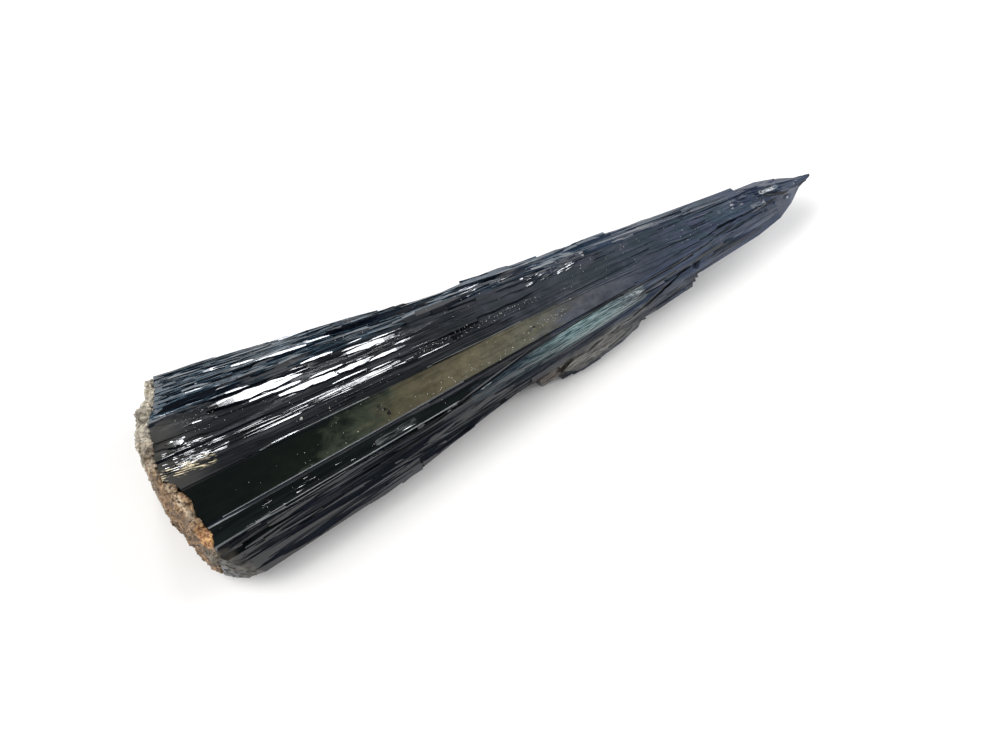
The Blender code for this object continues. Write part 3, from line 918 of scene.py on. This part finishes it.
def with_painted_gold_glints(n, colour):
    """Painted gold glints: hairs of painted highlight by the root, a little off the growth lines."""
    slanted = n.math("ADD", n.fan_y, n.product(n.x, 0.2))
    hairs = n.noise(n.drawn_out(0.08, slanted, 0.0), 7.0, 2.0, 0.6)
    gold_glint = n.product(n.between(hairs, 0.55, 0.60), n.near(GOLD_GLINT_LINE, 1.0, 0.5))
    return n.mix(gold_glint, colour, (0.85, 0.72, 0.48))


def with_groove_shade_and_rim_highlights(n, colour):
    """Painted shade, dark in each groove, and a painted highlight, pale along each rim."""
    for groove in GROOVES:
        near = n.near((groove.start, groove.end), groove.width, groove.width * 0.3)
        # painted shade: each groove is coloured near black
        colour = n.mix(near, colour, (0.002, 0.003, 0.005))
    plan = n.vector(n.x, n.y, 0.0)
    for rim in RIMS:
        away = n.from_line(plan, [(*ray_to("top", rim.line, x)[0].xy, 0.0) for x in rim.x])
        # painted highlight: a pale hairline on each rim's upward faces
        near = n.between(away, rim.width * 0.75, rim.width * 0.45)
        rim_highlight = n.scaled([rim.pale * tint for tint in RIM_HIGHLIGHT_TINT], n.between(n.hairs, 0.3, 0.7, 0.6, 1.1))
        colour = n.mix(n.product(near, n.between(n.nz, 0.8, 0.95)), colour, rim_highlight)
    return colour


def crystal_material():
    n = CrystalNodes()
    front = front_flank(n)
    colour = n.mix(n.near(CLEAR_LINE, 1.3, 0.7), facets(n, front), clear_lath(n))
    colour = with_chip(n, colour, front)
    colour = n.mix(n.product(n.near(PALE_LINE, 0.5, 0.25), n.haired), colour, (0.11, 0.12, 0.12))
    colour = with_painted_gold_glints(n, colour)
    ragged = n.math("ADD", n.from_line(n.point, WORN_LINE), n.product(n.stains, 2.0))
    worn = n.between(ragged, 3.0, 1.8)
    dirt = n.mix(n.between(n.stains, 0.4, 0.6), (0.020, 0.018, 0.015), (0.085, 0.072, 0.055))
    colour = with_groove_shade_and_rim_highlights(n, n.mix(worn, colour, dirt))
    # painted highlight: pale glints on the chips at the point
    painted_tip_glint = n.mix(n.between(n.stains, 0.45, 0.55), (0.10, 0.13, 0.17), (0.85, 0.86, 0.88))
    colour = n.mix(n.near(TIP_CHIP, 0.36, 0.16), colour, painted_tip_glint)
    colour = n.scaled(colour, n.between(n.cloud, 0.35, 0.7, 1.1, 0.75))

    rough = n.between(n.hairs, 0.3, 0.75, 0.06, 0.22)
    rough = n.blend(n.between(n.ny, -0.25, -0.5, 0.0, 0.8), rough, 0.13)
    rough = n.blend(n.between(n.x, 12, 36), rough, 0.30)
    rough = n.blend(worn, rough, 0.45)
    relief = n.bump(n.hairs, 0.006, 0.3, n.bump(n.streaks, 0.03, 0.2))
    return n.finish(Base_Color=colour, Roughness=rough, IOR=1.58, Normal=relief)


def crust_material():
    """Brown in front and grey at the back, with a pale seam, a rust spot and the worn corner."""
    n = Nodes("matrix")
    patches = n.noise(n.point, 0.5, 5.0, 0.7)
    fine = n.noise(n.point, 2.4, 6.0, 0.72)
    grainy = n.between(fine, 0.34, 0.62)
    brown = n.mix(grainy, (0.042, 0.021, 0.010), (0.31, 0.190, 0.095))
    grey = n.mix(grainy, (0.095, 0.076, 0.050), (0.52, 0.46, 0.36))
    colour = n.mix(n.between(n.math("ADD", n.y, n.product(patches, 18.0)), 5.5, 13.5), brown, grey)
    for ends in SEAM_LINES:
        pale = n.product(n.near(ends, 0.55, 0.2), n.between(fine, 0.42, 0.54))
        colour = n.mix(pale, colour, (0.55, 0.42, 0.28))
    worn = n.mix(grainy, (0.040, 0.032, 0.022), (0.20, 0.165, 0.12))
    colour = n.mix(n.near(WORN_LINE, 3.4, 1.6), colour, worn)
    rust = n.mix(n.between(fine, 0.4, 0.6), (0.20, 0.065, 0.018), (0.56, 0.33, 0.14))
    colour = n.mix(n.near(RUST_LINE, 1.3, 0.5), colour, rust)
    colour = n.scaled(colour, n.between(n.cells(n.point, 1.1), 0.0, 1.0, 0.55, 1.15))
    return n.finish(Base_Color=colour, Roughness=0.55, IOR=1.5, Normal=n.bump(fine, 0.08, 0.6))


def dust_material():
    n = Nodes("dust")
    tone = n.noise(n.point, 2.0)
    colour = n.mix(n.between(tone, 0.4, 0.6), (0.32, 0.32, 0.31), (0.62, 0.59, 0.52))
    return n.finish(Base_Color=colour, Roughness=0.6)


def floor_material():
    """Plain and pale, and lit from below far out, where it meets the pale wall."""
    n = Nodes("floor")
    glow = n.between(n.vector_math("LENGTH", n.vector(n.x, n.y, 0.0)), *FLOOR_GLOW)
    return n.finish(
        Base_Color=(0.90, 0.885, 0.865), Roughness=0.9, Specular_IOR_Level=0.2,
        Emission_Color=(1.0, 1.0, 1.0), Emission_Strength=glow,
    )


# The crust's grains. Radii are (least, greatest) or (least, greatest, most common).

CRUST_GRAINS = 1300
GRAIN_RADIUS = (0.12, 0.5, 0.25)
CRUST_LUMPS = 240
LUMP_RADIUS = (0.4, 0.8)
GRAIN_SUNK = 0.35  # how deep its middle lies under the crust's face, as a share of its radius
GRAIN_SPREAD = (0.72, 1.18)  # how far its corners lie from its middle, in the same terms
SEAM_TRIES = 2520  # places looked at for grains along the seam between crust and crystal
SEAM_RADIUS = (0.16, 0.45, 0.25)
SEAM_SUNK = 0.45  # as GRAIN_SUNK
SEAM_WITHIN = 1.2  # how near the crust's outline a place along the seam is
SEAM_DEPTH = 0.25  # how far from the crust's inner face its outline is looked for
SEAM_SHIFT = 0.12  # how far out of that face the grains' middles lie


def grain_mesh(place, radius, dice):
    """A closed angular grain, in metres, or None where it would pass the CAD model's box."""
    shape = bmesh.new()
    bmesh.ops.create_icosphere(shape, subdivisions=1, radius=radius)
    for vertex in shape.verts:
        vertex.co *= dice.uniform(*GRAIN_SPREAD)
    axis = Vector((dice.uniform(-1, 1), dice.uniform(-1, 1), 1.0))
    shape.transform(Matrix.Translation(place) @ Matrix.Rotation(dice.uniform(0, 2 * math.pi), 4, axis))
    fits = inside_box([vertex.co for vertex in shape.verts], 0.0)
    shape.transform(Matrix.Scale(MM, 4))
    mesh = bpy.data.meshes.new("grain")
    shape.to_mesh(mesh)
    shape.free()
    if not fits:
        bpy.data.meshes.remove(mesh)
        return None
    return mesh


def seam_place(tree, y, z, radius):
    """A place on the outline of the crust's inner face, near this y and z, or None."""
    point, _, _, _ = tree.ray_cast(Vector((0.0, y, z)), Vector((-1, 0, 0)))
    if point is None:
        return None
    inner = point - Vector((SEAM_DEPTH, 0, 0))
    reach = []
    for way in (Vector((0, 0, 1)), Vector((0, 0, -1)), Vector((0, 1, 0)), Vector((0, -1, 0))):
        _, _, _, distance = tree.ray_cast(inner, way)
        reach.append((distance if distance is not None else FAR, way))
    distance, way = min(reach, key=lambda item: item[0])
    if distance > SEAM_WITHIN:
        return None
    return point + Vector((SEAM_SHIFT, 0, 0)) + way * (distance - radius * SEAM_SUNK)


def build_crust():
    dice = random.Random(CRUST_SEED)
    mesh = node_mesh(CRUST_NODE)
    tree = surface_of(mesh)
    low, high = (Vector(corner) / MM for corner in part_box(CRUST_NODE))
    grains = []
    for i in range(CRUST_GRAINS + CRUST_LUMPS):
        start = Vector((-FAR, dice.uniform(low.y, high.y), dice.uniform(low.z, high.z)))
        radius = dice.triangular(*GRAIN_RADIUS) if i < CRUST_GRAINS else dice.uniform(*LUMP_RADIUS)
        point, normal, _, _ = tree.ray_cast(start, Vector((1, 0, 0)))
        if point is not None:
            grains.append(grain_mesh(point - normal * radius * GRAIN_SUNK, radius, dice))
    for _ in range(SEAM_TRIES):
        radius = dice.triangular(*SEAM_RADIUS)
        place = seam_place(tree, dice.uniform(low.y, high.y), dice.uniform(low.z, high.z), radius)
        if place is not None:
            grains.append(grain_mesh(place, radius, dice))
    grains = [grain for grain in grains if grain]
    print(len(grains), "grains")
    mesh = main_skin(combined(mesh, "UNION", grains))
    return new_object("matrix_grains", mesh)


# The dust

# Pale grains on the upper faces: (growth lines, x, how many).
DUST = (
    ((-2.2, -0.7), (-12.0, 5.0), 110),
    ((-8.1, -6.7), (0.5, 7.0), 36),
    ((-9.6, -8.6), (-14.0, 4.0), 30),
    ((1.0, 4.4), (-42.0, -30.0), 60),
    ((-4.4, -0.5), (-30.0, -12.0), 40),
    ((-10.4, -5.2), (-40.0, -2.0), 40),
    ((-12.6, -10.8), (-40.0, -10.0), 10),
    ((2.0, 10.0), (-30.0, 20.0), 50),
    ((-6.0, 4.0), (8.0, 36.0), 60),
)
DUST_RADIUS = (0.02, 0.075, 0.03)
DUST_LUMP = (-28.2, -2.5, 0.22)  # x, y and radius of the one large grain
DUST_PROUD = 0.3  # how far a grain's middle stands out of the face, as a share of its radius


def build_dust(crystal):
    dice = random.Random(DUST_SEED)
    tree = surface_of(crystal.data)
    places = [(*ray_to("top", dice.uniform(*lines), dice.uniform(*x)), dice.triangular(*DUST_RADIUS))
              for lines, x, count in DUST for _ in range(count)]
    places.append((Vector((*DUST_LUMP[:2], FAR)), Vector((0, 0, -1)), DUST_LUMP[2]))
    dust = bmesh.new()
    for start, way, radius in places:
        point, normal, _, _ = tree.ray_cast(start, way)
        grain = grain_mesh(point + normal * radius * DUST_PROUD, radius, dice) if point is not None else None
        if grain:
            dust.from_mesh(grain)
            bpy.data.meshes.remove(grain)
    mesh = bpy.data.meshes.new("mineral_dust")
    dust.to_mesh(mesh)
    dust.free()
    return new_object("mineral_dust", mesh)


# The stage

# The studio's walls are pale low down, and dark above: (height of the way looked, colour).
WALLS = ((0.07, (1.0, 1.02, 1.04)), (0.20, (0.10, 0.115, 0.135)))
FLOOR_RADIUS = 0.6  # in metres, as the lamps' lengths are
FLOOR_SIDES = 96
FLOOR_GLOW = (240.0, 520.0)  # where its own light begins and is full, in millimetres from the middle

WHITE = (1.0, 1.0, 1.0)
# Area lights that face the object: name, way from it, distance, size, power and colour.
LAMPS = (
    ("window", (0.165, 0.92, 0.352), 0.9, (0.17, 0.15), 2.2, (0.95, 0.97, 1.0)),
    ("left", (-0.64, 0.30, 0.71), 0.9, (0.7, 0.7), 8.6, WHITE),
    ("right", (0.88, -0.05, 0.47), 0.9, (0.7, 0.6), 7.0, WHITE),
    ("front", (-0.1, -0.38, 0.92), 1.2, (2.2, 0.36), 4.4, WHITE),
    ("low_front", (0.1, -0.82, 0.56), 1.2, (1.8, 0.15), 0.75, WHITE),
)


def add_lamp(name, way, distance, size, power, colour):
    light = bpy.data.lights.new(name, "AREA")
    light.shape = "RECTANGLE"
    light.size, light.size_y = size
    light.energy = power
    light.color = colour
    lamp = new_object(name, light)
    lamp.location = Vector(way).normalized() * distance
    lamp.rotation_euler = Vector(way).to_track_quat("Z", "Y").to_euler()
    lamp.visible_camera = False


def add_floor():
    mesh = bpy.data.meshes.new("floor")
    turns = [2 * math.pi * i / FLOOR_SIDES for i in range(FLOOR_SIDES)]
    rim = [(FLOOR_RADIUS * math.cos(turn), FLOOR_RADIUS * math.sin(turn), 0.0) for turn in turns]
    mesh.from_pydata(rim, [], [range(FLOOR_SIDES)])
    floor = new_object("floor", mesh)
    mesh.materials.append(floor_material())


def add_walls():
    world = bpy.data.worlds.new("studio")
    bpy.context.scene.world = world
    world.use_nodes = True
    nodes, link = world.node_tree.nodes, world.node_tree.links.new
    way = nodes.new("ShaderNodeSeparateXYZ")
    link(nodes.new("ShaderNodeTexCoord").outputs["Generated"], way.inputs[0])
    walls = nodes.new("ShaderNodeValToRGB")
    link(way.outputs["Z"], walls.inputs[0])
    fill_ramp(walls.color_ramp, WALLS)
    link(walls.outputs[0], nodes["Background"].inputs["Color"])


def add_camera():
    camera = bpy.data.cameras.new("camera")
    camera.lens = FOCAL_LENGTH
    camera.sensor_width = SENSOR_WIDTH
    camera.clip_start = 0.01
    holder = new_object("camera", camera)
    flat, up = math.cos(CAMERA_ELEVATION), math.sin(CAMERA_ELEVATION)
    back = Vector((math.sin(CAMERA_AZIMUTH) * flat, -math.cos(CAMERA_AZIMUTH) * flat, up))
    holder.location = (CAMERA_TARGET + back * CAMERA_DISTANCE) * MM
    holder.rotation_euler = back.to_track_quat("Z", "Y").to_euler()
    bpy.context.scene.camera = holder


def main():
    crystal = build_crystal()
    crystal.data.materials.append(crystal_material())
    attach(crystal, "root")
    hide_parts(BLADE_NODE)
    crust = build_crust()
    crust.data.materials.append(crust_material())
    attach(crust, "root")
    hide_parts(CRUST_NODE)
    dust = build_dust(crystal)
    dust.data.materials.append(dust_material())
    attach(dust, "root")
    for piece in (crystal, crust, dust):
        piece.data.calc_loop_triangles()
        print(piece.name, len(piece.data.loop_triangles), "triangles")
    add_floor()
    add_walls()
    for lamp in LAMPS:
        add_lamp(*lamp)
    add_camera()
    bpy.context.scene.view_settings.view_transform = "Standard"


main()
